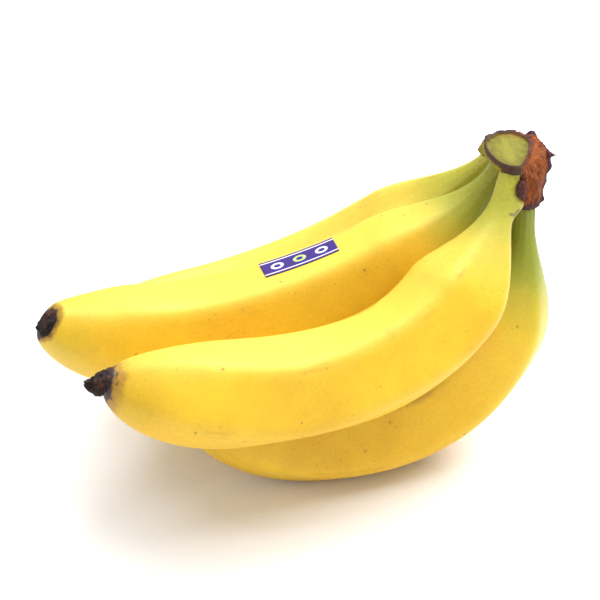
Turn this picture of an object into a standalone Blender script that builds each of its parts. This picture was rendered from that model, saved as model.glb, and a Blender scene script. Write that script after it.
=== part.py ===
"""A hand of five bananas, joined at its crown and lying on its two lowest fingers.

Every finger is a loft of rounded five-sided rings along a curved path, from a thin neck in the
crown to the black remains of its flower. Run with: blender --background --python part.py
"""
import bmesh
import bpy
import numpy as np
from mathutils import Vector

MM = 0.001

# Each finger's path in mm from neck root to blossom end, as the handles of a Bezier curve. +X is
# toward the crown, the viewer is on the -Y side, and Z is up. The waist says where along the path
# the neck starts to widen and over how long, and the tip says the same of the taper. The remains
# are the dried flower's length, and the lean is how far it bends to the inside.
FINGERS = {
    "front": {"path": ((77, 43, 117), (60, 19, 54), (38, 1, 50), (-32, -16, 48), (-65, -26, 70)),
              "radius": 19.4, "waist": (0.055, 0.225), "tip": (0.74, 0.27), "remains": 7.0,
              "lean": -2.6},
    "middle": {"path": ((76, 54, 117), (57, 65, 56), (-64, 28, 37), (-93, 11, 72)),
               "radius": 19.6, "waist": (0.03, 0.28), "tip": (0.80, 0.21), "remains": 4.0,
               "lean": 0.6},
    "rear": {"path": ((77, 66, 116), (49, 109, 54), (-35, 100, 18), (-88, 63, 38)),
             "radius": 18.0, "waist": (0.05, 0.27), "tip": (0.76, 0.25), "remains": 5.5,
             "lean": 0.8},
    "low_front": {"path": ((84, 50, 102), (89, 48, 32), (63, 34, 0), (-2, 17, 1), (-44, 11, 36)),
                  "radius": 19.2, "waist": (0.045, 0.235), "tip": (0.72, 0.29), "remains": 6.0,
                  "lean": 0.8},
    "low_rear": {"path": ((79, 66, 102), (86, 96, 13), (12, 70, -9), (-60, 44, 27)),
                 "radius": 18.2, "waist": (0.05, 0.27), "tip": (0.76, 0.25), "remains": 5.0,
                 "lean": 0.8},
}

# The hand's place, so that the origin is on the floor under the middle of its outline box.
HAND_PLACE = (0.83, -37.68, 6.5)
FLOOR = -6.5

# The section: five soft ridges, with a flat side on the inside of the bend.
RIDGES = 5
RIDGE_SHARPNESS = 10
RIDGE_REACH = 1.11
NECK_RADIUS = 4.3
TAPER_LATE, TAPER_BLUNT = 2.2, 0.53
FACET_START, FACET_GROWTH = 0.02, 0.12
RINGS = 34
SIDES = 25

# The dried flower remains at each tip.
BLOSSOM_RINGS = 5
BLOSSOM_SIDES = 14
BLOSSOM_SWELL, BLOSSOM_NARROW = 0.12, 0.45
BLOSSOM_RAGGED = ((3, 1.0, 0.14), (5, 0.0, 0.10))

# The crown: a flat cut face with its rim, and beside it a shoulder down to the two low necks.
CUT_HEIGHT = 120.5
CUT_OUTLINE = ((72, 41), (79, 37), (82.5, 45), (85, 53), (86.5, 61),
               (85, 68), (80, 72), (73, 69), (69, 62), (69, 52))
RIM_SPREAD = 1.05
RIM_EDGE, RIM_THICKNESS = 0.8, 3.6
SHOULDER = ((79, 39, 119.5), (83, 50, 120.2), (85, 60, 120.3), (84, 68, 120.3),
            (88, 67, 121), (92, 64, 118.7), (94.5, 58, 117), (93, 50, 115.5), (88, 42.5, 113),
            (80, 40, 108), (85, 44, 104), (91, 52, 105), (88, 71, 113), (79, 73, 113), (89, 62, 105))
COLLAR_RADIUS = 6.0
COLLAR_DEPTH = (-2.0, 2.5)
COLLARS = ("low_front", "low_rear")
HULL_SIDES = 20
NECK_GAP = 0.3
SOCKET_REACH, SOCKET_RINGS = 0.30, 14

# The sticker on the middle finger's upper side.
STICKER_ALONG = (0.388, 0.552)
STICKER_ROUND = (3.0, 42.0)
STICKER_LIFT = 0.35
STICKER_THICKNESS = 0.5
STICKER_STEPS = (10, 4)


def smooth(x):
    """A ramp from 0 to 1 that starts and ends level."""
    x = np.clip(x, 0.0, 1.0)
    return x * x * (3.0 - 2.0 * x)


def path_points(path, along):
    """Points at even fractions of a Bezier path's length."""
    u = np.linspace(0.0, 1.0, 400)[:, None]
    level = [np.array(corner, dtype=float) for corner in path]
    while len(level) > 1:
        level = [(1 - u) * first + u * second for first, second in zip(level, level[1:])]
    fine = level[0]
    length = np.concatenate([[0.0], np.cumsum(np.linalg.norm(np.diff(fine, axis=0), axis=1))])
    return np.stack([np.interp(along * length[-1], length, fine[:, k]) for k in range(3)], axis=1)


def finger_frame(path, along):
    """The path's points and its directions: along, toward the inside of the bend, and sideways."""
    points = path_points(path, along)
    step = 0.002
    tangent = path_points(path, np.clip(along + step, 0, 1)) - path_points(path, np.clip(along - step, 0, 1))
    tangent /= np.linalg.norm(tangent, axis=1)[:, None]
    root, middle, tip = path_points(path, np.array([0.0, 0.5, 1.0]))
    plane = np.cross(tip - root, middle - root)
    inner = np.cross(tangent, plane)
    inner /= np.linalg.norm(inner, axis=1)[:, None]
    return points, tangent, inner, np.cross(tangent, inner)


def finger_radius(finger, along):
    """Thin at the neck, full along the body and tapering to the tip."""
    start, growth = finger["waist"]
    grown = NECK_RADIUS + (finger["radius"] - NECK_RADIUS) * smooth((along - start) / growth)
    start, span = finger["tip"]
    taper = np.clip((along - start) / span, 0, 1)
    return grown * (1 - taper ** TAPER_LATE) ** TAPER_BLUNT


def five_sided(angle):
    """The section's reach at an angle from the inside of the bend."""
    total = sum(np.maximum(0, np.cos(angle - k * 2 * np.pi / RIDGES)) ** RIDGE_SHARPNESS
                for k in range(RIDGES))
    return total ** (-1 / RIDGE_SHARPNESS) / RIDGE_REACH


def surface(finger, along, angle, lift=0.0):
    """Points on a finger's skin, a row for each fraction along and a column for each angle."""
    points, _, inner, side = finger_frame(finger["path"], along)
    faceted = smooth((along - FACET_START) / FACET_GROWTH)[:, None]
    reach = finger_radius(finger, along)[:, None] * (1 + (five_sided(angle)[None] - 1) * faceted)
    turn = np.cos(angle)[None, :, None] * inner[:, None] + np.sin(angle)[None, :, None] * side[:, None]
    return points[:, None] + (reach + lift)[..., None] * turn


def object_from(name, mesh_data, collection, material, parent):
    """A named object with outward faces, its material, and smooth shading."""
    bmesh.ops.recalc_face_normals(mesh_data, faces=mesh_data.faces[:])
    mesh = bpy.data.meshes.new(name)
    mesh_data.to_mesh(mesh)
    mesh_data.free()
    mesh.shade_smooth()
    mesh.set_sharp_from_angle(angle=np.radians(50))
    if material is not None:
        mesh.materials.append(material)
    piece = bpy.data.objects.new(name, mesh)
    piece.parent = parent
    collection.objects.link(piece)
    return piece


def loft(rows):
    """A closed body through rows of points, with flat ends."""
    body = bmesh.new()
    rings = [[body.verts.new(Vector(point) * MM) for point in row] for row in rows]
    sides = len(rings[0])
    for first, second in zip(rings, rings[1:]):
        for k in range(sides):
            after = (k + 1) % sides
            body.faces.new((first[k], first[after], second[after], second[k]))
    body.faces.new(rings[0])
    body.faces.new(rings[-1])
    bmesh.ops.triangulate(body, faces=body.faces[:])
    return body


def material(name, colour, roughness):
    """A plain Principled material."""
    made = bpy.data.materials.new(name)
    made.use_nodes = True
    shader = made.node_tree.nodes["Principled BSDF"]
    shader.inputs["Base Color"].default_value = (*colour, 1.0)
    shader.inputs["Roughness"].default_value = roughness
    shader.inputs["Metallic"].default_value = 0.0
    return made


def make_finger(name, finger, collection, skin, hand):
    """One banana, with a small flat spot where it meets the floor."""
    along = np.linspace(0.0, 1.0, RINGS)
    angle = np.linspace(0, 2 * np.pi, SIDES, endpoint=False)
    rows = surface(finger, along, angle)
    rows[..., 2] = np.maximum(rows[..., 2], FLOOR)
    return object_from("banana_" + name, loft(rows), collection, skin, hand)


def make_blossom_end(name, finger, collection, dark, hand):
    """The ragged black stub past the tip of one banana."""
    points, tangent, inner, side = finger_frame(finger["path"], np.array([0.0, 1.0]))
    end_radius = finger_radius(finger, np.array([1.0]))[0]
    angle = np.linspace(0, 2 * np.pi, BLOSSOM_SIDES, endpoint=False)
    rows = []
    for step in np.linspace(0, 1, BLOSSOM_RINGS):
        ragged = 1.0
        for waves, shift, depth in BLOSSOM_RAGGED:
            ragged = ragged + depth * step * np.sin(waves * angle + shift)
        profile = 1.0 + BLOSSOM_SWELL * np.sin(np.pi * step) - BLOSSOM_NARROW * step ** 2
        reach = end_radius * profile * ragged
        rise = NECK_GAP + finger["remains"] * step
        centre = points[1] + tangent[1] * rise + inner[1] * finger["lean"] * step
        rows.append(centre + reach[:, None] * (np.cos(angle)[:, None] * inner[1]
                                               + np.sin(angle)[:, None] * side[1]))
    return object_from("blossom_end_" + name, loft(rows), collection, dark, hand)


def make_sticker(collection, film, hand):
    """A thin film over the skin of the middle banana."""
    along = np.linspace(*STICKER_ALONG, STICKER_STEPS[0] + 1)
    angle = np.radians(np.linspace(*STICKER_ROUND, STICKER_STEPS[1] + 1))
    layers = []
    for lift in (STICKER_LIFT, STICKER_LIFT + STICKER_THICKNESS):
        layers.append(surface(FINGERS["middle"], along, angle, lift))
    rows = [np.concatenate([low, high[::-1]]) for low, high in zip(*layers)]
    return object_from("sticker", loft(rows), collection, film, hand)


def hull(name, points, collection, material, hand):
    """The smallest convex body round the points."""
    body = bmesh.new()
    for point in points:
        body.verts.new(Vector(point) * MM)
    bmesh.ops.convex_hull(body, input=body.verts[:])
    loose = [vertex for vertex in body.verts if not vertex.link_faces]
    bmesh.ops.delete(body, geom=loose, context="VERTS")
    return object_from(name, body, collection, material, hand)


def slab_points():
    """The cut face and the rim under it."""
    outline = np.array(CUT_OUTLINE, dtype=float)
    middle = outline.mean(axis=0)
    points = [(*corner, CUT_HEIGHT) for corner in outline]
    for drop in (RIM_EDGE, RIM_THICKNESS):
        points += [(*(middle + (corner - middle) * RIM_SPREAD), CUT_HEIGHT - drop) for corner in outline]
    return points


def shoulder_points():
    """The side where the next hand was torn off, down to a collar round each low neck."""
    turn = np.linspace(0, 2 * np.pi, HULL_SIDES, endpoint=False)
    points = list(SHOULDER)
    for name in COLLARS:
        start, tangent, inner, side = finger_frame(FINGERS[name]["path"], np.array([0.0, 1.0]))
        for depth in COLLAR_DEPTH:
            for c, s in zip(np.cos(turn), np.sin(turn)):
                points.append(start[0] + tangent[0] * depth + COLLAR_RADIUS * (c * inner[0] + s * side[0]))
    return points


def cut_with(target, operation, other):
    """One step of solid modelling on the target."""
    step = target.modifiers.new(other.name, "BOOLEAN")
    step.operation = operation
    step.solver = "EXACT"
    step.object = other
    other.hide_render = True
    other.display_type = "WIRE"


def make_crown(collection, cutters, brown, hand):
    """The joined roots: slab and shoulder as one body, with a socket for every neck."""
    crown = hull("crown", slab_points(), collection, brown, hand)
    cut_with(crown, "UNION", hull("shoulder", shoulder_points(), cutters, None, hand))
    for name, finger in FINGERS.items():
        cut_with(crown, "DIFFERENCE", make_socket(name, finger, cutters, hand))


def make_socket(name, finger, cutters, hand):
    """The first stretch of a neck, a little larger all round, which the crown is cut by."""
    along = np.linspace(0.0, SOCKET_REACH, SOCKET_RINGS)
    angle = np.linspace(0, 2 * np.pi, SIDES, endpoint=False)
    rows = surface(finger, along, angle, NECK_GAP)
    _, tangent, _, _ = finger_frame(finger["path"], np.array([0.0, 1.0]))
    rows = np.concatenate([rows[:1] - tangent[0] * NECK_GAP, rows])
    return object_from("socket_cutter_" + name, loft(rows), cutters, None, hand)


def main():
    for old in list(bpy.data.objects):
        bpy.data.objects.remove(old, do_unlink=True)
    collection = bpy.data.collections.new("banana_hand")
    cutters = bpy.data.collections.new("cutters")
    for made in (collection, cutters):
        bpy.context.scene.collection.children.link(made)
    hand = bpy.data.objects.new("hand", None)
    hand.location = Vector(HAND_PLACE) * MM
    collection.objects.link(hand)

    skin = material("banana_skin", (0.88, 0.58, 0.06), 0.45)
    dark = material("blossom_remains", (0.035, 0.022, 0.02), 0.85)
    brown = material("crown_tissue", (0.29, 0.12, 0.04), 0.8)
    film = material("sticker_film", (0.12, 0.05, 0.50), 0.35)
    for name, finger in FINGERS.items():
        make_finger(name, finger, collection, skin, hand)
        make_blossom_end(name, finger, collection, dark, hand)
    make_sticker(collection, film, hand)
    make_crown(collection, cutters, brown, hand)


main()
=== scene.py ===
"""The looks of the hand of bananas: fine skins, ragged blossom ends, the cut crown and the sticker."""
import math

import bmesh
import bpy
import numpy as np
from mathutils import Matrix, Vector, noise

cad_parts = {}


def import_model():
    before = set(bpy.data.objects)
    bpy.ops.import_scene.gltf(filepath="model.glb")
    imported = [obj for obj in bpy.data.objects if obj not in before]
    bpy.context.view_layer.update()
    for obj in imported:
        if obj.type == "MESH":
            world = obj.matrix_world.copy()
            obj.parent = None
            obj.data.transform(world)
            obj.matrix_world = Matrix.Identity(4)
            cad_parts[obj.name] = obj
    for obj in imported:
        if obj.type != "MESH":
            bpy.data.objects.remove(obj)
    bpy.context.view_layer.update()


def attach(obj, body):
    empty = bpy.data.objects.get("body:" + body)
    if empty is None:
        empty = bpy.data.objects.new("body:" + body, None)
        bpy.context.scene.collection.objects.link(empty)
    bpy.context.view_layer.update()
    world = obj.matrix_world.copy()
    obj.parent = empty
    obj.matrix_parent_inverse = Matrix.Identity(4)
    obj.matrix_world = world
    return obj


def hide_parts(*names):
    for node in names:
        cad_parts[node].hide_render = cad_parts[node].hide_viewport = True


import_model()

MM = 0.001

# Each finger's path in mm from neck root to blossom end, and its radius, as in the solids. Its waist
# and its tip are each a start and a span, as fractions along the path.
FINGERS = {
    "front": {"path": ((77, 43, 117), (60, 19, 54), (38, 1, 50), (-32, -16, 48), (-65, -26, 70)),
              "radius": 19.4, "waist": (0.055, 0.225), "tip": (0.74, 0.27)},
    "middle": {"path": ((76, 54, 117), (57, 65, 56), (-64, 28, 37), (-93, 11, 72)),
               "radius": 19.6, "waist": (0.03, 0.28), "tip": (0.80, 0.21)},
    "rear": {"path": ((77, 66, 116), (49, 109, 54), (-35, 100, 18), (-88, 63, 38)),
             "radius": 18.0, "waist": (0.05, 0.27), "tip": (0.76, 0.25)},
    "low_front": {"path": ((84, 50, 102), (89, 48, 32), (63, 34, 0), (-2, 17, 1), (-44, 11, 36)),
                  "radius": 19.2, "waist": (0.045, 0.235), "tip": (0.72, 0.29)},
    "low_rear": {"path": ((79, 66, 102), (86, 96, 13), (12, 70, -9), (-60, 44, 27)),
                 "radius": 18.2, "waist": (0.05, 0.27), "tip": (0.76, 0.25)},
}

# From the hand's own frame to the row's in mm, and the table's height in the hand's frame.
HAND_PLACE = np.array([0.83, -37.68, 6.5])
FLOOR = -6.5

# How finely a path is drawn, and how far along it a direction is measured.
PATH_SAMPLES = 600
PATH_STEP = 0.006

# The five-sided section and the radius along a finger, as in the solids.
RIDGES = 5
RIDGE_SHARPNESS = 10
RIDGE_REACH = 1.11
NECK_RADIUS = 4.3
TAPER_LATE, TAPER_BLUNT = 2.2, 0.53

# The facets grow after the neck and fade in part toward the tip: starts and spans along a finger.
FACET_START, FACET_GROWTH = 0.05, 0.18
FACET_FADE_START, FACET_FADE_SPAN = 0.72, 0.25
FACET_FADE = 0.7

# The front finger's facets turn down in the middle and up at the tip: degrees, and where along it.
FRONT_SAG, FRONT_SAG_PLACE, FRONT_SAG_WIDTH = -10.0, 0.66, 0.12
FRONT_LIFT, FRONT_LIFT_START, FRONT_LIFT_SPAN = 8.0, 0.80, 0.15

# The middle finger is slimmer toward its tip than its solid is.
MIDDLE_SLIM = 0.10
MIDDLE_SLIM_START, MIDDLE_SLIM_SPAN = 0.82, 0.15

# Slow swells of the skin: share of the radius, waves along, waves round and share of the phase.
SWELLS = ((0.012, 6.0, 1, 1), (0.008, 11.0, -2, 2), (0.004, 23.0, 3, 1))
SWELL_GROWTH = 0.2

# Creases at the neck: share of the radius, how far along they fade, waves round and share of the phase.
CREASES = ((0.030, 0.06, 7, 1), (0.012, 0.10, 13, 0))

# How far each finger's phase is from the one before, so that no two swell alike.
PHASE_STEP = 1.7

# The fine skin: rings along a finger and points round it.
SKIN_RINGS = 230
SKIN_SIDES = 120

# Where each skin's last ring lies along its finger, and how high in mm it domes past that.
SKIN_ENDS = {
    "front": (1.0, 3.0),
    "middle": (0.986, 1.2),
    "rear": (1.0, 1.5),
    "low_front": (1.0, 1.5),
    "low_rear": (1.0, 1.5),
}

# The dome's rings, their first and last turn in radians, and how far along they count as reaching.
DOME_RINGS = 8
DOME_TURNS = (0.15, 1.2)
DOME_LENGTH = 0.02

# How much further along a finger the tip's stain reaches on the outside of its bend, and how far in
# radians that place is turned.
STAIN_SAG = 0.018
STAIN_TURN = 0.5

# A finger's length in metres, for grain that follows it.
GRAIN_LENGTH = 0.2

# A flap of peel on the front neck's right side: place, width and height in mm.
FLAP_PLACE = (79.5, 39.0, 104.0)
FLAP_WIDTH, FLAP_HEIGHT = 4.0, 4.6

# Painted shade along the thin crease under that flap: its line, strength, width and depth in mm.
FOLD_SHADE_LINE = ((76.2, 35.8, 102.0), (77.7, 36.0, 101.4), (79.6, 37.2, 103.3))
FOLD_SHADE_STRENGTH, FOLD_SHADE_WIDTH, FOLD_SHADE_DEPTH = 0.9, 0.5, 1.5

# The dried flower remains: the radius of their foot in mm, how far they narrow, where they start and
# end in mm past the skin's last ring, how far they lean inward, and a seed for their raggedness.
BLOSSOMS = {
    "front": {"foot": 4.8, "narrow": 0.85, "from": 1.4, "to": 7.2, "lean": -3.6, "seed": 3},
    "middle": {"foot": 4.9, "narrow": 0.36, "from": 0.0, "to": 2.5, "lean": -1.4, "seed": 8},
    "rear": {"foot": 4.9, "narrow": 0.55, "from": 0.5, "to": 5.5, "lean": 0.8, "seed": 12},
    "low_front": {"foot": 4.9, "narrow": 0.60, "from": 0.5, "to": 6.0, "lean": 0.8, "seed": 21},
    "low_rear": {"foot": 4.9, "narrow": 0.50, "from": 0.5, "to": 5.0, "lean": 0.8, "seed": 34},
}

# The remains' rings and points, their bulge, how late they narrow, their least reach in mm, and the
# share of their lean that they have at the foot.
BLOSSOM_RINGS = 44
BLOSSOM_SIDES = 72
BLOSSOM_BELLY = 0.10
BLOSSOM_NARROWING = 1.3
BLOSSOM_LEAST_REACH = 0.4
BLOSSOM_FOOT_LEAN = 0.3

# What makes the remains ragged: the noise's size round a ring, its run from foot to end, and its
# share of the reach and of the rise.
LOBES = {"round": 2.0, "run": 1.5, "reach": 0.30, "rise": 0.30}
CRUMBS = {"round": 5.0, "run": 9.0, "reach": 0.10, "rise": 0.12}

# How layered noise falls off from octave to octave, how much finer each is, and how many there are.
CRUMB_FALL, ROUGH_FALL = 0.7, 0.8
OCTAVE_STEP, OCTAVES = 2.0, 4

# The crown's cut face and the rim round it, as in the solids.
CUT_HEIGHT = 120.5
CUT_OUTLINE = ((72, 41), (79, 37), (82.5, 45), (85, 53), (86.5, 61),
               (85, 68), (80, 72), (73, 69), (69, 62), (69, 52))
RIM_SPREAD = 1.05
RIM_EDGE, RIM_THICKNESS = 0.8, 3.6

# The share of each side of that outline that its rounding takes off, and how often.
CORNER_CUT, CORNER_ROUNDS = 0.25, 2

# The shoulder under the scar, a little slimmer than the solids', with a collar round each low neck.
SHOULDER = ((79, 39, 119.5), (83, 50, 120.2), (85, 60, 120.3), (84, 68, 120.3),
            (88, 67, 121), (92, 64, 118.7), (94.5, 58, 117), (91, 50, 114), (87, 42.5, 112),
            (80, 40, 108), (84, 44, 104), (89, 52, 105), (88, 71, 113), (79, 73, 113), (88, 62, 105))
COLLARS = ("low_front", "low_rear")
COLLAR_RADIUS = 5.6
COLLAR_DEPTH = (-2.0, 2.5)
COLLAR_SIDES = 28

# The skin that laps over the rear neck's root, on the left of the cut face, and the way its edge faces.
LAP = ((70.2, 66, 120.6), (68.6, 66.6, 117.8), (67.2, 68, 113.9), (71, 61, 119.5), (73, 70.5, 119.8),
       (71.5, 61, 115), (74, 66, 112), (70, 71, 114), (69, 65, 112.5))
LAP_EDGE_WAY = np.array([-0.55, 0.35, 0.76])

# A dry flake of the scar that hangs over the front neck's root.
FLAKE = ((82.5, 40, 115), (78.8, 36.8, 115.4), (77.7, 36.0, 112.8), (79.0, 35.8, 111.3),
         (78.2, 35.8, 108.7), (81.0, 37, 107.0), (82.5, 39, 105.5), (83, 44, 109), (80, 41, 110))

# How finely the crown is remeshed in mm, and how much it is softened after that.
CROWN_VOXEL = 0.4
CROWN_SOFTENING, CROWN_ROUNDS = 0.5, 5

# The crown's raggedness: how the noise is stretched for lumps and for fibres that run downward.
COARSE_STRETCH, COARSE_SEED = np.array([0.35, 0.35, 0.35]), 0.0
FIBRE_STRETCH, FIBRE_SEED = np.array([0.85, 0.85, 0.15]), 5.0

# Where the crown's tissues change: a start and a span in mm. A span below 0 runs the other way. The
# lap's edge goes by how squarely the surface faces LAP_EDGE_WAY instead.
SCAR_START = 79.3
TISSUES_ACROSS = {
    "scar": (SCAR_START, 0.8),
    "margin": (SCAR_START + 1.6, -1.2),
    "outer": (89.3, 1.0),
    "lap_side": (73.0, -1.0),
}
TISSUES_BACKWARD = {
    "back": (58.0, 10.0),
    "stain": (65.5, 4.0),
    "flake_side": (40.5, -1.0),
}
TISSUES_UPWARD = {
    "top": (CUT_HEIGHT - 1.2, 0.7),
    "rim": (CUT_HEIGHT - RIM_THICKNESS - 0.8, 0.6),
    "foot": (104.0, -2.5),
    "flake_top": (116.3, -0.8),
    "lap_top": (119.0, -1.0),
}
TISSUES_INWARD = {
    "cut": (0.2, 0.7),
    "core": (0.0, 7.0),
    "lip": (-1.6, 0.8),
}
TISSUES = {
    **TISSUES_ACROSS,
    **TISSUES_BACKWARD,
    **TISSUES_UPWARD,
    **TISSUES_INWARD,
    "lap_edge": (0.72, 0.12),
}

# How far those edges wander, in mm.
WANDER = {"cut": 0.35, "core": 2.1, "stain": 2.5, "scar": 0.5, "margin": 1.0, "foot": 1.6, "outer": 0.9}

# The cut face keeps this far from the outline at the back. The stain on it and the scar's outer edge
# run aslant: their slopes, and the places in mm from which these are measured.
BACK_MARGIN = 1.3
STAIN_SLOPE, STAIN_FROM = 0.35, 78
OUTER_SLOPE, OUTER_FROM = 0.16, 105

# How charred the scar is at its edges.
CHARRING = {"foot": 0.8, "margin": 0.8, "lip": 0.6, "outer": 0.8, "flake": 0.6}

# How far in mm the noise pushes the scar out, as fibres and as coarse lumps, and the flake and the rim.
# How far the rim's back is raised, and how deep the cut face is dished.
SCAR_FIBRE, SCAR_COARSE, FLAKE_COARSE, RIM_COARSE = 0.45, 0.35, 0.8, 0.25
BACK_RISE, CUT_DISH = 0.5, 0.45

# Lumps of dried tissue on the crown: place, width and height in mm.
LUMPS = (
    ((87.5, 67.0, 121.0), 2.0, 1.0),
    ((92.5, 54.0, 113.0), 2.0, 1.2),
    ((90.0, 50.0, 102.0), 1.8, 1.0),
    ((80.0, 40.5, 106.0), 1.8, 1.0),
    ((76.0, 71.0, 120.5), 2.4, 0.3),
    ((81.0, 72.0, 120.5), 2.4, 0.4),
)

# How round a lump is for its width, how dark it is, and how far that dark reaches.
LUMP_ROUNDNESS = 0.6
LUMP_CHAR, LUMP_CHAR_REACH = 0.95, 2.2

# The thorn of dried skin at the crown's right edge, drawn out to a thread that droops, in mm.
THORN_ROOT = np.array([92.0, 55.5, 117.3])
THORN_RADIUS, THORN_TAPER, THORN_SHARPNESS = 2.0, 2.6, 1.4
THREAD_RUN = np.array([8.5, -1.5, 1.6])
THREAD_DROOP = np.array([0.0, 0.0, -3.2])
THREAD_RADIUS = 0.13
THREAD_RINGS, THREAD_SIDES = 24, 10
THREAD_TISSUE = {"cut": 0.0, "scar": 1.0, "rim": 0.0, "char": 0.8, "stain": 0.0, "core": 0.0}

# The sticker on the middle finger, a little narrower than the solid's: fractions along, degrees round,
# its top's height over the skin and its thickness in mm, and its points each way.
STICKER_ALONG = (0.388, 0.552)
STICKER_ROUND = (5.0, 42.0)
STICKER_LIFT, STICKER_THICKNESS = 0.35, 0.25
STICKER_STEPS = (64, 26)

# The sticker's design, as shares of its width across the finger: where the edge lines lie from its
# middle, the rings' radii, how soft the print's edges are, and how long the sticker is.
LINE_INNER, LINE_OUTER = 0.35, 0.405
RING_INNER, RING_OUTER = 0.10, 0.19
PRINT_EDGE = 0.015
STICKER_ASPECT = 2.3

# Colours of the peel.
RIPE = (0.77, 0.485, 0.016)
DEEP = (0.735, 0.425, 0.011)
LEMON = (0.82, 0.585, 0.075)
GREEN = (0.18, 0.22, 0.008)
PALE_GREEN = (0.49, 0.455, 0.045)
FRECKLE = (0.26, 0.12, 0.020)
HALO = (0.24, 0.085, 0.018)
STAIN = (0.032, 0.012, 0.009)
# FOLD_SHADE is painted shade for the crease under the flap, not a colour of the peel.
FOLD_SHADE = (0.10, 0.055, 0.018)

# Each peel: how green its neck is, how far down it the green reaches, how brown it is with specks,
# how pale the peel is, how far its facets are turned in degrees, and where the tip's halo begins. The
# rear peel's paleness is partly its own tone and partly painted light on its lit top.
SKINS = {
    "front": {"green": 0.29, "reach": 0.21, "brown": 0.35, "pale": 0.0, "roll": -6, "halo": 0.975},
    "middle": {"green": 0.66, "reach": 0.26, "brown": 0.50, "pale": 0.0, "roll": 17, "halo": 0.987},
    "rear": {"green": 0.22, "reach": 0.26, "brown": 0.60, "pale": 0.9, "roll": 14, "halo": 0.975},
    "low_front": {"green": 0.90, "reach": 0.26, "brown": 0.35, "pale": 0.0, "roll": 0, "halo": 0.975},
    "low_rear": {"green": 0.90, "reach": 0.26, "brown": 0.40, "pale": 0.0, "roll": 0, "halo": 0.975},
}

# Colours of the dried flowers.
BLOSSOM_BLACK = (0.010, 0.006, 0.006)
BLOSSOM_BROWN = (0.055, 0.028, 0.020)
BLOSSOM_RUST = (0.16, 0.042, 0.014)

# Colours of the crown.
TISSUE_GREEN = (0.30, 0.25, 0.025)
TISSUE_BROWN = (0.20, 0.14, 0.018)
SCAR_DARK = (0.085, 0.022, 0.010)
SCAR_RED = (0.24, 0.060, 0.010)
SCAR_LIGHT = (0.30, 0.115, 0.030)
RIM_BROWN = (0.085, 0.046, 0.024)
RIM_DARK = (0.038, 0.018, 0.020)
CUT_MARGIN = (0.120, 0.100, 0.010)
CUT_CORE = (0.215, 0.198, 0.023)
CUT_RAY = (0.125, 0.120, 0.012)
CUT_STAIN = (0.22, 0.10, 0.020)
CHAR = (0.040, 0.018, 0.026)

# Colours of the sticker and the floor.
VIOLET = (0.038, 0.016, 0.17)
WHITE = (0.74, 0.74, 0.84)
LIME = (0.46, 0.68, 0.18)
FLOOR_WHITE = (0.93, 0.95, 0.985)

# The sticker's three rings: where along it they lie, and their colours.
RINGS = ((0.20, WHITE), (0.50, LIME), (0.80, WHITE))

# The stage in metres and watts: the floor's half width, the room's brightness, and each lamp's place,
# size and power.
FLOOR_HALF = 6.0
ROOM_LIGHT = 0.60
LAMP_AIM = (0, 0, 0.05)
LAMPS = {
    "overhead": ((0.33, 0.25, 0.92), 1.3, 25.5),
    "left_fill": ((-0.9, -0.5, 0.6), 0.6, 1.5),
}

# The photograph's camera: its place in the hand's own mm, its tilt from straight down, and its lens.
EYE = np.array([-0.7, -377.4, 304.5])
CAMERA_TILT = math.radians(60)
VIEW_WAY = np.array([0, math.sin(CAMERA_TILT), -math.cos(CAMERA_TILT)])
LENS, SENSOR = 75.0, 36.0
CLIP_START = 0.01


def world(points):
    """Millimetres in the hand's own frame to metres in the row's frame."""
    return (np.asarray(points, dtype=float) + HAND_PLACE) * MM


# Shapes of the fingers


def smooth(x):
    """A ramp from 0 to 1 that starts and ends level."""
    x = np.clip(x, 0.0, 1.0)
    return x * x * (3.0 - 2.0 * x)


def ramp(value, start, span):
    """From 0 at the start to 1 a span further on. A span below 0 runs the other way."""
    return smooth((value - start) / span)


def path_points(path, along):
    """Points at even fractions of a Bezier path's length."""
    u = np.linspace(0.0, 1.0, PATH_SAMPLES)[:, None]
    level = [np.array(corner, dtype=float) for corner in path]
    while len(level) > 1:
        level = [(1 - u) * first + u * second for first, second in zip(level, level[1:])]
    fine = level[0]
    length = np.concatenate([[0.0], np.cumsum(np.linalg.norm(np.diff(fine, axis=0), axis=1))])
    return np.stack([np.interp(along * length[-1], length, fine[:, k]) for k in range(3)], axis=1)


def finger_frame(path, along):
    """The path's points and its directions: along, toward the inside of the bend, and sideways."""
    points = path_points(path, along)
    after, before = (path_points(path, np.clip(along + step, 0, 1)) for step in (PATH_STEP, -PATH_STEP))
    tangent = after - before
    tangent /= np.linalg.norm(tangent, axis=1)[:, None]
    root, middle, tip = path_points(path, np.array([0.0, 0.5, 1.0]))
    plane = np.cross(tip - root, middle - root)
    inner = np.cross(tangent, plane)
    inner /= np.linalg.norm(inner, axis=1)[:, None]
    return points, tangent, inner, np.cross(tangent, inner)


def finger_radius(finger, along):
    """Thin at the neck, full along the body and tapering to the tip."""
    start, growth = finger["waist"]
    grown = NECK_RADIUS + (finger["radius"] - NECK_RADIUS) * ramp(along, start, growth)
    start, span = finger["tip"]
    taper = np.clip((along - start) / span, 0, 1)
    return grown * (1 - taper ** TAPER_LATE) ** TAPER_BLUNT


def five_sided(angle):
    """The section's reach at an angle from the inside of the bend."""
    total = sum(np.maximum(0, np.cos(angle - k * 2 * np.pi / RIDGES)) ** RIDGE_SHARPNESS
                for k in range(RIDGES))
    return total ** (-1 / RIDGE_SHARPNESS) / RIDGE_REACH


def facet_turn(name, along):
    """How far the facets are turned at each fraction along a finger, in radians."""
    turn = np.full_like(along, SKINS[name]["roll"])
    if name == "front":
        turn += FRONT_SAG * np.exp(-((along - FRONT_SAG_PLACE) / FRONT_SAG_WIDTH) ** 2)
        turn += FRONT_LIFT * ramp(along, FRONT_LIFT_START, FRONT_LIFT_SPAN)
    return np.radians(turn)


def finger_phase(name):
    """Where a finger's swells start."""
    return PHASE_STEP * list(FINGERS).index(name)


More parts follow.
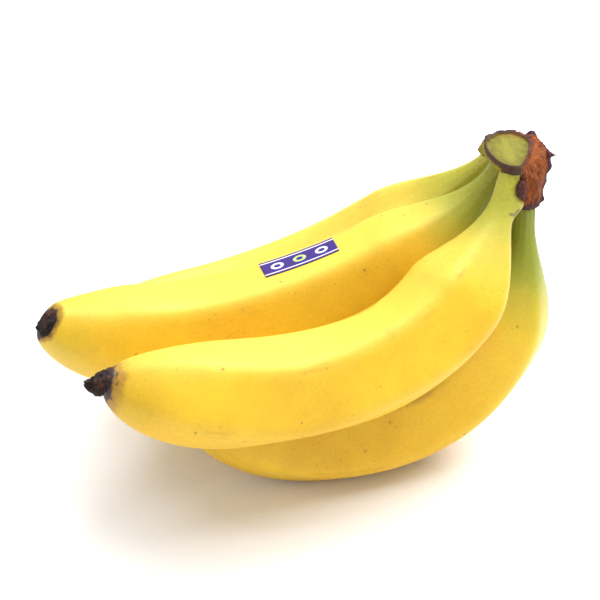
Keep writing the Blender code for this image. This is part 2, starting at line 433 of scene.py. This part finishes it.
def skin_surface(name, along, angle, lift=0.0):
    """Points on the fine skin: the solid's section with slow swells and creases at the neck."""
    finger = FINGERS[name]
    phase = finger_phase(name)
    points, _, inner, side = finger_frame(finger["path"], along)
    s, a = along[:, None], angle[None]
    rounded = FACET_FADE * ramp(s, FACET_FADE_START, FACET_FADE_SPAN)
    faceted = ramp(s, FACET_START, FACET_GROWTH) * (1 - rounded)
    swell = sum(share * np.sin(waves * s + turns * a + own * phase) for share, waves, turns, own in SWELLS)
    crease = sum(share * np.exp(-s / fade) * np.sin(turns * a + own * phase)
                 for share, fade, turns, own in CREASES)
    section = 1 + (five_sided(a - facet_turn(name, s)) - 1) * faceted
    reach = finger_radius(finger, along)[:, None] * section
    reach = reach * (1 + swell * smooth(s / SWELL_GROWTH) + crease) + lift
    if name == "middle":
        reach = reach * (1 - MIDDLE_SLIM * ramp(s, MIDDLE_SLIM_START, MIDDLE_SLIM_SPAN))
    outward = np.cos(a)[..., None] * inner[:, None] + np.sin(a)[..., None] * side[:, None]
    rows = points[:, None] + reach[..., None] * outward
    if name == "front":
        near = np.exp(-((rows - np.array(FLAP_PLACE)) ** 2).sum(axis=2) / FLAP_WIDTH ** 2)
        rows[..., 0] += FLAP_HEIGHT * near
    rows[..., 2] = np.maximum(rows[..., 2], FLOOR)
    return rows


# Meshes


def grid_faces(rings, sides):
    """Quads between neighbouring rings of points."""
    ring, side = np.meshgrid(np.arange(rings - 1), np.arange(sides), indexing="ij")
    after = (side + 1) % sides
    corner = ring * sides
    quads = np.stack([corner + side, corner + after, corner + sides + after, corner + sides + side], axis=-1)
    return quads.reshape(-1, 4)


def mesh_from(name, points, faces, material, values=None):
    """A smooth object with outward faces and named numbers or vectors for each point."""
    mesh = bpy.data.meshes.new(name)
    mesh.from_pydata(points.reshape(-1, 3).tolist(), [], [list(map(int, face)) for face in faces])
    for key, value in (values or {}).items():
        value = np.asarray(value, dtype=np.float32)
        kind, field = ("FLOAT_VECTOR", "vector") if value.ndim == 2 else ("FLOAT", "value")
        mesh.attributes.new(key, kind, "POINT").data.foreach_set(field, value.ravel())
    tidy = bmesh.new()
    tidy.from_mesh(mesh)
    bmesh.ops.recalc_face_normals(tidy, faces=tidy.faces[:])
    tidy.to_mesh(mesh)
    tidy.free()
    mesh.shade_smooth()
    mesh.materials.append(material)
    piece = bpy.data.objects.new(name, mesh)
    bpy.context.scene.collection.objects.link(piece)
    return piece


def ends(rings, sides):
    """Flat faces over the first and the last ring."""
    return [list(range(sides)), list(range((rings - 1) * sides, rings * sides))]


def declare(piece, slot, *nodes):
    """Rides on the hand's one body and stands for its nodes."""
    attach(piece, "root")
    if nodes:
        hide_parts(*nodes)


# Materials


class Nodes:
    """A short way to write a material's node tree. A texture's scale is in features a metre."""

    def __init__(self, name):
        self.material = bpy.data.materials.new(name)
        self.material.use_nodes = True
        self.tree = self.material.node_tree
        self.shader = self.tree.nodes["Principled BSDF"]

    def add(self, kind, **settings):
        node = self.tree.nodes.new(kind)
        for key, value in settings.items():
            setattr(node, key, value)
        return node

    def link(self, source, target):
        self.tree.links.new(source, target)

    def feed(self, socket, value):
        if isinstance(value, bpy.types.NodeSocket):
            self.link(value, socket)
        elif isinstance(value, tuple) and len(value) == 3 and socket.type == "RGBA":
            socket.default_value = (*value, 1.0)
        else:
            socket.default_value = value

    def number(self, name):
        """A number kept at the mesh's points."""
        return self.add("ShaderNodeAttribute", attribute_name=name).outputs["Fac"]

    def place(self, scale=(1, 1, 1), field=None):
        """Where a texture is looked up: the piece's coordinates or a kept vector, stretched."""
        if field:
            coordinates = self.add("ShaderNodeAttribute", attribute_name=field).outputs["Vector"]
        else:
            coordinates = self.add("ShaderNodeTexCoord").outputs["Object"]
        mapping = self.add("ShaderNodeMapping")
        mapping.inputs["Scale"].default_value = scale
        self.link(coordinates, mapping.inputs["Vector"])
        return mapping.outputs["Vector"]

    def noise(self, scale, detail=3.0, rough=0.5, vector=None, distortion=0.0):
        node = self.add("ShaderNodeTexNoise")
        node.inputs["Scale"].default_value = scale
        node.inputs["Detail"].default_value = detail
        node.inputs["Roughness"].default_value = rough
        node.inputs["Distortion"].default_value = distortion
        self.link(vector or self.place(), node.inputs["Vector"])
        return node.outputs["Fac"]

    def spots(self, scale):
        node = self.add("ShaderNodeTexVoronoi")
        node.inputs["Scale"].default_value = scale
        self.link(self.place(), node.inputs["Vector"])
        return node.outputs["Distance"]

    def calc(self, kind, first, second=0.0):
        node = self.add("ShaderNodeMath", operation=kind)
        self.feed(node.inputs[0], first)
        self.feed(node.inputs[1], second)
        return node.outputs[0]

    def plus(self, first, second):
        return self.calc("ADD", first, second)

    def times(self, first, second):
        return self.calc("MULTIPLY", first, second)

    def step(self, value, low, high, start=0.0, end=1.0):
        """A smooth change from start to end while the value goes from low to high."""
        node = self.add("ShaderNodeMapRange", interpolation_type="SMOOTHSTEP")
        self.feed(node.inputs["Value"], value)
        for socket, number in zip(("From Min", "From Max", "To Min", "To Max"), (low, high, start, end)):
            node.inputs[socket].default_value = number
        return node.outputs["Result"]

    def mix(self, amount, first, second, blend="MIX"):
        node = self.add("ShaderNodeMix", data_type="RGBA", blend_type=blend)
        self.feed(node.inputs[0], amount)
        self.feed(node.inputs[6], first)
        self.feed(node.inputs[7], second)
        return node.outputs[2]

    def bump(self, height, distance, strength=1.0, below=None):
        node = self.add("ShaderNodeBump")
        node.inputs["Strength"].default_value = strength
        node.inputs["Distance"].default_value = distance
        self.link(height, node.inputs["Height"])
        if below is not None:
            self.link(below, node.inputs["Normal"])
        return node.outputs["Normal"]

    def finish(self, colour, roughness, normal=None, specular=0.5):
        self.feed(self.shader.inputs["Base Color"], colour)
        self.feed(self.shader.inputs["Roughness"], roughness)
        self.shader.inputs["Specular IOR Level"].default_value = specular
        if normal is not None:
            self.link(normal, self.shader.inputs["Normal"])
        return self.material


def skin_material(name):
    """Waxy peel: yellow with a green neck, browned ridges, freckles and a dark stain at the tip."""
    n = Nodes("skin_" + name)
    skin = SKINS[name]
    reach = skin["reach"]
    along = n.number("along")
    broad = n.noise(26, detail=2)
    fine = n.noise(260, detail=4)
    grain = n.noise(75, detail=5, rough=0.6, vector=n.place((0.10, 1.0, 1.0), "straight"))

    # Ripe and deeper yellow in broad patches, paler peels, a painted highlight on the facets that face up,
    # and grain along the finger.
    colour = n.mix(n.step(broad, 0.35, 0.7), RIPE, DEEP)
    # Each peel's own paleness; the rear's is partly painted light on its lit top.
    colour = n.mix(skin["pale"], colour, LEMON)
    # Painted highlight: the facets that face up are mixed toward lemon, as if lit from above.
    colour = n.mix(n.step(n.number("lit_top"), 0.55, 0.95, 0.0, 0.6), colour, LEMON)
    colour = n.mix(n.step(grain, 0.52, 0.70, 0.0, 0.25), colour, DEEP)

    # Green from the neck with a wandering edge, and a touch of it by the tip.
    edge = n.plus(along, n.times(n.calc("SUBTRACT", broad, 0.5), 0.10))
    colour = n.mix(n.step(edge, 0.45 * reach, 1.15 * reach, 0.95, 0.0), colour, PALE_GREEN)
    colour = n.mix(n.step(edge, 0.25 * reach, reach, skin["green"], 0.0), colour, GREEN)
    colour = n.mix(n.step(along, 0.88, 0.99, 0.0, 0.20), colour, GREEN)

    # Light and dark mottle, once coarse and once fine.
    colour = n.mix(1.0, colour, n.step(n.noise(130, detail=3), 0.3, 0.7, 0.96, 1.02), "MULTIPLY")
    colour = n.mix(1.0, colour, n.step(n.noise(900, detail=2), 0.25, 0.75, 0.95, 1.04), "MULTIPLY")

    # Small freckles in patches, then fewer and larger spots.
    freckles = n.times(n.step(n.spots(310), 0.10, 0.18, 1.0, 0.0), n.step(n.noise(42, detail=2), 0.46, 0.60))
    colour = n.mix(n.times(freckles, 0.28), colour, FRECKLE)
    spots = n.times(n.step(n.spots(130), 0.06, 0.11, 1.0, 0.0), n.step(n.noise(60, detail=1), 0.52, 0.58))
    colour = n.mix(n.times(spots, 0.60), colour, FRECKLE)

    # Brown rub marks on the ridges, and brown specks on the neck.
    rub = n.times(n.step(n.number("ridge"), 0.70, 0.95), n.step(n.noise(40, detail=2), 0.48, 0.56))
    rub = n.times(rub, n.step(grain, 0.50, 0.60))
    colour = n.mix(n.times(rub, 0.40), colour, FRECKLE)
    specks = n.step(n.noise(620, detail=3), 0.55, 0.66)
    colour = n.mix(n.times(n.step(along, 0.02, 0.18, skin["brown"], 0.0), specks), colour, FRECKLE)

    # The tip's dark stain with its brown halo, and painted shade in the crease under the flap.
    stain = n.plus(n.number("stain"), n.times(n.calc("SUBTRACT", fine, 0.5), 0.03))
    colour = n.mix(n.step(stain, skin["halo"], 0.997, 0.0, 0.6), colour, HALO)
    colour = n.mix(n.step(stain, 0.997, 1.004), colour, STAIN)
    # Painted shade: the crease under the flap is darkened as if shaded.
    colour = n.mix(n.number("crease"), colour, FOLD_SHADE)

    pores = n.bump(fine, 0.00025, 0.35)
    streaks = n.bump(grain, 0.0006, 0.12, pores)
    return n.finish(colour, n.step(broad, 0.3, 0.7, 0.48, 0.58), streaks, specular=0.45)


def blossom_material():
    """Dry black flower tissue with reddish brown in its folds."""
    n = Nodes("blossom_remains")
    grain = n.noise(420, detail=5, rough=0.65)
    rust = n.noise(190, detail=3)
    colour = n.mix(n.step(grain, 0.40, 0.70), BLOSSOM_BLACK, BLOSSOM_BROWN)
    colour = n.mix(n.step(rust, 0.56, 0.70, 0.0, 0.6), colour, BLOSSOM_RUST)
    return n.finish(colour, n.step(grain, 0.3, 0.7, 0.5, 0.85), n.bump(grain, 0.0008, 0.7), specular=0.22)


def crown_material():
    """The cut face, its dark rim, the dried brown scar and the green tissue by the necks."""
    n = Nodes("crown_tissue")
    grain = n.noise(500, detail=5, rough=0.6)
    fibre = n.noise(300, detail=4, rough=0.65, vector=n.place((1.0, 1.0, 0.22)), distortion=0.6)
    blotch = n.noise(120, detail=3)
    ray = n.noise(420, detail=3, vector=n.place((1.0, 0.10, 1.0)))

    green = n.mix(n.step(blotch, 0.35, 0.65), TISSUE_GREEN, TISSUE_BROWN)
    green = n.mix(n.step(n.spots(260), 0.10, 0.2, 0.7, 0.0), green, FRECKLE)
    scar = n.mix(n.step(fibre, 0.30, 0.60), SCAR_DARK, SCAR_RED)
    scar = n.mix(n.step(grain, 0.58, 0.74, 0.0, 0.5), scar, SCAR_LIGHT)
    rim = n.mix(n.step(blotch, 0.4, 0.7), RIM_BROWN, RIM_DARK)
    face = n.mix(n.number("core"), CUT_MARGIN, CUT_CORE)
    face = n.mix(n.step(ray, 0.42, 0.68, 0.0, 0.6), face, CUT_RAY)
    face = n.mix(n.times(n.number("stain"), 0.75), face, CUT_STAIN)

    colour = n.mix(n.number("scar"), green, scar)
    colour = n.mix(n.number("rim"), colour, rim)
    colour = n.mix(n.number("cut"), colour, face)
    colour = n.mix(n.number("char"), colour, CHAR)

    # Fibres and grain stand out all over, but hardly on the smooth cut face.
    height = n.plus(fibre, n.times(grain, 0.5))
    height = n.times(height, n.step(n.number("cut"), 0.0, 1.0, 1.0, 0.06))
    rough = n.bump(height, 0.0009, 0.6)
    return n.finish(colour, n.step(grain, 0.3, 0.7, 0.55, 0.85), rough, specular=0.14)


def sticker_material():
    """Printed film: a blue-violet ground, pale edge lines and three plain rings."""
    n = Nodes("sticker_film")
    u = n.number("sticker_u")
    height = n.calc("SUBTRACT", n.number("sticker_v"), 0.5)
    edge = n.calc("ABSOLUTE", height)
    inner = n.step(edge, LINE_INNER, LINE_INNER + PRINT_EDGE)
    outer = n.step(edge, LINE_OUTER, LINE_OUTER + PRINT_EDGE, 1.0, 0.0)
    colour = n.mix(n.times(inner, outer), VIOLET, WHITE)
    for centre, tint in RINGS:
        across = n.times(n.calc("SUBTRACT", u, centre), STICKER_ASPECT)
        reach = n.calc("SQRT", n.plus(n.calc("POWER", across, 2.0), n.calc("POWER", height, 2.0)))
        colour = n.mix(n.step(reach, RING_OUTER, RING_OUTER + PRINT_EDGE, 1.0, 0.0), colour, tint)
        colour = n.mix(n.step(reach, RING_INNER, RING_INNER + PRINT_EDGE, 1.0, 0.0), colour, VIOLET)
    return n.finish(colour, 0.42, specular=0.3)


# Pieces


def fold_shade_at(points):
    """How much each point on the neck's front lies in the painted shade of the thin crease under the flap of
    peel.
    """
    flat = points - (points @ VIEW_WAY)[:, None] * VIEW_WAY
    nearest = np.full(len(points), np.inf)
    for start, end in zip(FOLD_SHADE_LINE, FOLD_SHADE_LINE[1:]):
        start, end = (np.array(corner) - np.dot(corner, VIEW_WAY) * VIEW_WAY for corner in (start, end))
        run = end - start
        share = np.clip(((flat - start) @ run) / (run @ run), 0, 1)
        nearest = np.minimum(nearest, np.linalg.norm(flat - start - share[:, None] * run, axis=1))
    on_front = points[:, 1] < FLAP_PLACE[1] + FOLD_SHADE_DEPTH
    return FOLD_SHADE_STRENGTH * np.exp(-(nearest / FOLD_SHADE_WIDTH) ** 2) * on_front


def skin_values(name, rows, along, angle):
    """The numbers that a skin's material reads at each point."""
    turned = angle[None] - facet_turn(name, along)[:, None]
    ridge = np.cos(RIDGES * (turned - np.pi / RIDGES)) * 0.5 + 0.5
    under = 0.5 - 0.5 * np.cos(angle + STAIN_TURN)
    straight = np.empty(rows.shape)
    straight[..., 0] = along[:, None] * GRAIN_LENGTH
    straight[..., 1:] = np.stack([np.cos(angle), np.sin(angle)], axis=1) * FINGERS[name]["radius"] * MM
    flap_shade = fold_shade_at(rows.reshape(-1, 3)) if name == "front" else np.zeros(rows[..., 0].size)
    return {
        "along": np.repeat(along, len(angle)),
        "ridge": ridge.ravel(),
        # How squarely each facet faces up, for the painted highlight on the top.
        "lit_top": np.cos(turned).ravel(),
        "stain": (along[:, None] + STAIN_SAG * under ** 3).ravel(),
        # The painted shade under the flap, kept as crease.
        "crease": flap_shade,
        "straight": straight.reshape(-1, 3),
    }


def make_skin(name):
    """One banana's fine skin with a dome at its tip, which stands for its node."""
    last, dome = SKIN_ENDS[name]
    along = np.linspace(0.0, last, SKIN_RINGS)
    angle = np.linspace(0, 2 * np.pi, SKIN_SIDES, endpoint=False)
    rows = skin_surface(name, along, angle)
    end, tangent, _, _ = finger_frame(FINGERS[name]["path"], np.array([0.0, last]))
    rings = [end[1] + (rows[-1] - end[1]) * math.cos(turn) + tangent[1] * dome * math.sin(turn)
             for turn in np.linspace(*DOME_TURNS, DOME_RINGS)]
    rows = np.concatenate([rows, rings])
    along = np.concatenate([along, np.linspace(last, last + DOME_LENGTH, DOME_RINGS)])
    values = skin_values(name, rows, along, angle)
    faces = list(grid_faces(len(along), SKIN_SIDES)) + ends(len(along), SKIN_SIDES)
    piece = mesh_from("skin_" + name, world(rows), faces, skin_material(name), values)
    declare(piece, "skin", "banana_" + name)


def ring_noise_place(angle, step, seed, kind):
    """Where a point of the remains lies in the noise of its lobes or its crumbs."""
    size = kind["round"]
    return Vector((size * math.cos(angle), size * math.sin(angle), seed + kind["run"] * step))


def blossom_reach_and_rise(shape, angle, step):
    """How far a point of the remains lies out from the axis and up along it."""
    lobe = noise.noise(ring_noise_place(angle, step, shape["seed"], LOBES))
    crumb_place = ring_noise_place(angle, step, shape["seed"], CRUMBS)
    crumb = noise.fractal(crumb_place, CRUMB_FALL, OCTAVE_STEP, OCTAVES)
    belly = BLOSSOM_BELLY * math.sin(math.pi * step)
    reach = shape["foot"] * (1 + belly - shape["narrow"] * step ** BLOSSOM_NARROWING)
    reach *= 1 + LOBES["reach"] * step * lobe + CRUMBS["reach"] * crumb
    ragged = 1 + LOBES["rise"] * lobe + CRUMBS["rise"] * crumb
    rise = shape["from"] + (shape["to"] - shape["from"]) * step * ragged
    return max(reach, BLOSSOM_LEAST_REACH), rise


def make_blossom(name, material):
    """The ragged dark stub at one tip: a wrinkled collar that narrows to torn lobes."""
    shape = BLOSSOMS[name]
    points, tangents, inners, sides = finger_frame(FINGERS[name]["path"], np.array([0.0, SKIN_ENDS[name][0]]))
    foot, tangent, inner, side = points[1], tangents[1], inners[1], sides[1]
    rows = np.empty((BLOSSOM_RINGS, BLOSSOM_SIDES, 3))
    for i, step in enumerate(np.linspace(0, 1, BLOSSOM_RINGS)):
        lean = shape["lean"] * (BLOSSOM_FOOT_LEAN + (1 - BLOSSOM_FOOT_LEAN) * step)
        for j, angle in enumerate(np.linspace(0, 2 * np.pi, BLOSSOM_SIDES, endpoint=False)):
            reach, rise = blossom_reach_and_rise(shape, angle, step)
            outward = math.cos(angle) * inner + math.sin(angle) * side
            rows[i, j] = foot + tangent * rise + inner * lean + outward * reach
    faces = list(grid_faces(BLOSSOM_RINGS, BLOSSOM_SIDES)) + ends(BLOSSOM_RINGS, BLOSSOM_SIDES)
    piece = mesh_from("flower_remains_" + name, world(rows), faces, material)
    declare(piece, "blossom_remains", "blossom_end_" + name)


def make_sticker():
    """A thin film that lies over the skin of the middle banana."""
    u, v = (np.linspace(0, 1, count) for count in STICKER_STEPS)
    along = STICKER_ALONG[0] + (STICKER_ALONG[1] - STICKER_ALONG[0]) * u
    angle = np.radians(STICKER_ROUND[0] + (STICKER_ROUND[1] - STICKER_ROUND[0]) * v)
    low = skin_surface("middle", along, angle, STICKER_LIFT - STICKER_THICKNESS)
    high = skin_surface("middle", along, angle, STICKER_LIFT)
    rows = np.concatenate([low, high[:, ::-1]], axis=1)
    values = {
        "sticker_u": np.repeat(u, 2 * len(v)),
        "sticker_v": np.tile(np.concatenate([v, v[::-1]]), len(u)),
    }
    faces = list(grid_faces(len(u), 2 * len(v))) + ends(len(u), 2 * len(v))
    piece = mesh_from("printed_sticker", world(rows), faces, sticker_material(), values)
    declare(piece, "sticker_film", "sticker")


def rounded_outline():
    """The cut face's outline with its corners taken off."""
    line = np.array(CUT_OUTLINE, dtype=float)
    near, far = CORNER_CUT, 1 - CORNER_CUT
    for _ in range(CORNER_ROUNDS):
        after = np.roll(line, -1, axis=0)
        line = np.stack([far * line + near * after, near * line + far * after], axis=1).reshape(-1, 2)
    return line


def depth_inside(points, line):
    """How far each point lies inside a convex outline, and less than 0 outside."""
    edge = np.roll(line, -1, axis=0) - line
    inward = np.stack([-edge[:, 1], edge[:, 0]], axis=1)
    inward /= np.linalg.norm(inward, axis=1)[:, None]
    return ((points[:, None, :2] - line[None]) * inward[None]).sum(axis=2).min(axis=1)


def collar(name):
    """The points of two rings round a low finger's neck."""
    start, tangent, inner, side = finger_frame(FINGERS[name]["path"], np.array([0.0, 1.0]))
    turn = np.linspace(0, 2 * np.pi, COLLAR_SIDES, endpoint=False)
    return [start[0] + tangent[0] * depth + COLLAR_RADIUS * (math.cos(a) * inner[0] + math.sin(a) * side[0])
            for depth in COLLAR_DEPTH for a in turn]


def add_hull(block, corners):
    """Adds the convex shape round some corners to a mesh."""
    verts = [block.verts.new(Vector(corner)) for corner in corners]
    hull = bmesh.ops.convex_hull(block, input=verts)
    spare = [v for v in hull["geom_interior"] if isinstance(v, bmesh.types.BMVert)]
    bmesh.ops.delete(block, geom=spare, context="VERTS")


def crown_block(line):
    """The crown's slab, shoulder, lap and flake, remeshed as one to fine even faces and softened."""
    middle = line.mean(axis=0)
    slab = [(*corner, CUT_HEIGHT) for corner in line]
    for drop in (RIM_EDGE, RIM_THICKNESS):
        slab += [(*(middle + (corner - middle) * RIM_SPREAD), CUT_HEIGHT - drop) for corner in line]
    shoulder = list(SHOULDER) + [point for name in COLLARS for point in collar(name)]
    block = bmesh.new()
    for corners in (slab, shoulder, LAP, FLAKE):
        add_hull(block, corners)
    mesh = bpy.data.meshes.new("crown_block")
    block.to_mesh(mesh)
    block.free()
    piece = bpy.data.objects.new("crown_block", mesh)
    bpy.context.scene.collection.objects.link(piece)
    remesh = piece.modifiers.new("remesh", "REMESH")
    remesh.mode = "VOXEL"
    remesh.voxel_size = CROWN_VOXEL
    soften = piece.modifiers.new("soften", "SMOOTH")
    soften.factor = CROWN_SOFTENING
    soften.iterations = CROWN_ROUNDS
    graph = bpy.context.evaluated_depsgraph_get()
    shaped = bpy.data.meshes.new_from_object(piece.evaluated_get(graph))
    points = np.array([v.co for v in shaped.vertices])
    normals = np.array([v.normal for v in shaped.vertices])
    faces = [list(p.vertices) for p in shaped.polygons]
    bpy.data.objects.remove(piece, do_unlink=True)
    return points, normals, faces


def roughness_at(points, stretch, seed):
    """A ragged number from about -1 to 1 at each point."""
    shift = Vector((seed, 0, 0))
    return np.array([noise.fractal(Vector(p * stretch) + shift, ROUGH_FALL, OCTAVE_STEP, OCTAVES)
                     for p in points])


def tissue(name, value, coarse=0.0):
    """A ramp where the named tissue changes, with an edge that wanders."""
    start, span = TISSUES[name]
    wander = math.copysign(WANDER.get(name, 0.0), span)
    return ramp(value + wander * coarse, start, span)


def crown_tissues(points, normals, coarse, line):
    """How much each point belongs to each tissue, to the flake and to the rim's raised back."""
    x, y, z = points.T
    inside = depth_inside(points, line)
    top, back = tissue("top", z), tissue("back", y)
    cut = top * tissue("cut", inside - BACK_MARGIN * back, coarse)
    core = cut * tissue("core", inside, coarse)
    stain = cut * tissue("stain", y + STAIN_SLOPE * (x - STAIN_FROM), coarse)
    flake = tissue("flake_side", y) * tissue("flake_top", z)
    scar = np.maximum(tissue("scar", x, coarse), flake) * (1 - cut)
    lap = tissue("lap_side", x) * tissue("lap_top", z)
    lap_edge = tissue("lap_edge", normals @ LAP_EDGE_WAY)
    rim = tissue("rim", z) * (1 - cut) * (1 - scar) * (1 - lap * (1 - lap_edge))
    edges = {
        "foot": tissue("foot", z, coarse),
        "margin": tissue("margin", x, coarse),
        "lip": top * tissue("lip", inside),
        "outer": tissue("outer", x - OUTER_SLOPE * (z - OUTER_FROM), coarse),
        "flake": flake,
    }
    char = scar * np.maximum.reduce([CHARRING[edge] * level for edge, level in edges.items()])
    values = {"cut": cut, "scar": scar, "rim": rim, "char": char, "stain": stain, "core": core}
    return values, flake, top * back * (1 - cut)


def make_crown(material):
    """The crown: a dished cut face, a dark rim, and a scar of torn fibres beside it."""
    line = rounded_outline()
    points, normals, faces = crown_block(line)
    coarse = roughness_at(points, COARSE_STRETCH, COARSE_SEED)
    fibre = roughness_at(points, FIBRE_STRETCH, FIBRE_SEED)
    values, flake, raised = crown_tissues(points, normals, coarse, line)
    push = (SCAR_FIBRE * fibre + SCAR_COARSE * coarse + FLAKE_COARSE * coarse * flake) * values["scar"]
    push = push + RIM_COARSE * coarse * values["rim"] - CUT_DISH * values["cut"] + BACK_RISE * raised
    for place, width, height in LUMPS:
        spread = 2 * (LUMP_ROUNDNESS * width) ** 2
        near = np.exp(-((points - np.array(place)) ** 2).sum(axis=1) / spread)
        push += height * near
        dark = LUMP_CHAR * smooth(near * LUMP_CHAR_REACH) * (1 - values["cut"])
        values["char"] = np.maximum(values["char"], dark)
    points = points + normals * push[:, None]
    piece = mesh_from("crown_detail", world(points), faces, material, values)
    declare(piece, "crown_tissue", "crown")


def make_thread(material):
    """A thorn of dried skin at the crown's right edge, drawn out to one loose thread."""
    steps = np.linspace(0, 1, THREAD_RINGS)[:, None]
    centres = THORN_ROOT + THREAD_RUN * steps + THREAD_DROOP * steps ** 2
    reach = THREAD_RADIUS + THORN_RADIUS * np.maximum(0, 1 - steps * THORN_TAPER) ** THORN_SHARPNESS
    turn = np.linspace(0, 2 * np.pi, THREAD_SIDES, endpoint=False)
    ring = np.stack([np.zeros(THREAD_SIDES), np.cos(turn), np.sin(turn)], axis=1)
    rows = centres[:, None] + reach[..., None] * ring
    faces = list(grid_faces(THREAD_RINGS, THREAD_SIDES)) + ends(THREAD_RINGS, THREAD_SIDES)
    values = {key: np.full(THREAD_RINGS * THREAD_SIDES, level) for key, level in THREAD_TISSUE.items()}
    piece = mesh_from("crown_thread", world(rows), faces, material, values)
    declare(piece, "crown_tissue")


# Stage and camera


def make_floor():
    """A pale matt floor."""
    n = Nodes("floor")
    n.finish(FLOOR_WHITE, 0.7, specular=0.1)
    corners = np.array([[-1, -1, 0], [1, -1, 0], [1, 1, 0], [-1, 1, 0]]) * FLOOR_HALF
    mesh_from("floor", corners, [[0, 1, 2, 3]], n.material)


def make_light():
    """A bright room, a soft lamp above and behind, and a faint one on the left."""
    scene = bpy.context.scene
    scene.view_settings.view_transform = "Standard"
    room = bpy.data.worlds.new("room")
    room.use_nodes = True
    room.node_tree.nodes["Background"].inputs["Color"].default_value = (1.0, 1.0, 1.0, 1.0)
    room.node_tree.nodes["Background"].inputs["Strength"].default_value = ROOM_LIGHT
    scene.world = room
    for name, (place, size, power) in LAMPS.items():
        lamp = bpy.data.lights.new(name, "AREA")
        lamp.size = size
        lamp.energy = power
        light = bpy.data.objects.new(name, lamp)
        light.location = place
        light.rotation_euler = (Vector(LAMP_AIM) - Vector(place)).to_track_quat("-Z", "Y").to_euler()
        scene.collection.objects.link(light)


def make_camera():
    """The photograph's viewpoint."""
    data = bpy.data.cameras.new("photo_view")
    data.lens = LENS
    data.sensor_width = SENSOR
    data.clip_start = CLIP_START
    camera = bpy.data.objects.new("photo_view", data)
    camera.location = world(EYE)
    camera.rotation_euler = (CAMERA_TILT, 0, 0)
    bpy.context.scene.collection.objects.link(camera)
    bpy.context.scene.camera = camera


def main():
    make_camera()
    make_floor()
    make_light()
    dark = blossom_material()
    for name in FINGERS:
        make_skin(name)
        make_blossom(name, dark)
    make_sticker()
    dried = crown_material()
    make_crown(dried)
    make_thread(dried)


main()
